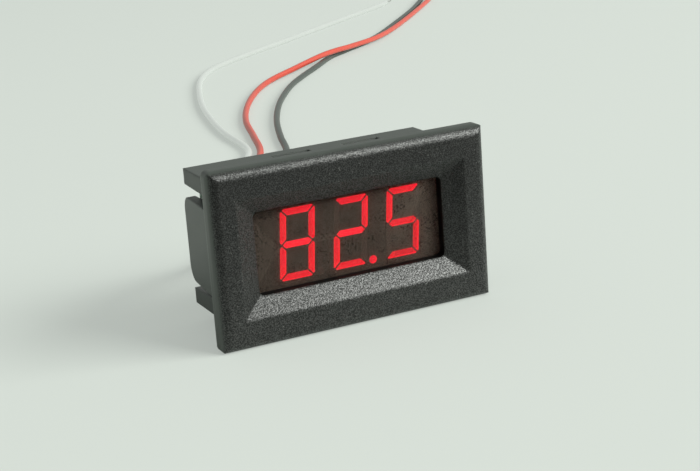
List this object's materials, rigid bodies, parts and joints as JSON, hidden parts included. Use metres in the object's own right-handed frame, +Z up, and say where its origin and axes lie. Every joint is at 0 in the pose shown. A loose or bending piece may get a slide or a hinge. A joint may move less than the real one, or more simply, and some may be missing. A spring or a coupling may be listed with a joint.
{
  "type": "digital panel meter",
  "caption": "Snap-in rectangular digital panel meter: sloped window frame, LED digits behind tinted film, side snap tongues and flying leads.",
  "frame": {"origin": "middle of the panel cut-out, in the plane of the panel's front face, where the bezel's rear face seats", "axes": "+X to the right as the display is read, +Y back through the panel, +Z up"},
  "size_m": [0.2114, 0.3175, 0.029],
  "materials": {
    "black_plastic": "fine spark-eroded grain on the front, satin sides",
    "tinted_film": "matt, grainy, brown-grey tint",
    "display_grey": "matt",
    "lit_red": "glowing diffused epoxy",
    "dark_red": "unlit diffused epoxy",
    "tinned_metal": "tinned, satin",
    "board_green": "solder mask gloss",
    "solder": "bright solder",
    "chip_black": "moulded epoxy",
    "resistor_black": "glazed",
    "ceramic_tan": "fired ceramic",
    "tantalum_yellow": "moulded epoxy",
    "trimmer_white": "ceramic",
    "rotor_brass": "satin",
    "red_insulation": "soft satin insulation",
    "black_insulation": "soft satin insulation",
    "white_insulation": "soft satin insulation"
  },
  "bodies": {
    "meter": {"housing": "black_plastic", "window_film": "tinted_film", "display_block": "display_grey", "lit_segments": "lit_red", "dark_segments": "dark_red", "display_pins": "tinned_metal", "circuit_board": "board_green", "pin_solder": "solder", "controller_chip": "chip_black", "controller_leads": "tinned_metal", "regulator": "chip_black", "regulator_tabs": "tinned_metal", "diode": "chip_black", "diode_tabs": "tinned_metal", "resistors": "resistor_black", "capacitors": "ceramic_tan", "chip_end_caps": "tinned_metal", "tantalum_capacitor": "tantalum_yellow", "tantalum_tabs": "tinned_metal", "trimmer_base": "trimmer_white", "trimmer_terminals": "tinned_metal", "red_lead": "red_insulation", "black_lead": "black_insulation", "white_lead": "white_insulation", "board_wire_ends": "tinned_metal", "lead_solder": "solder", "far_wire_ends": "tinned_metal"},
    "rotor": {"trimmer_rotor": "rotor_brass"}
  },
  "joints": [
    {"name": "trimmer_turn", "type": "hinge", "parent": "meter", "child": "rotor", "pos_m": [-0.015, 0.0145, -0.0042], "axis": [0, 1, 0], "range_deg": [-120, 120]}
  ]
}
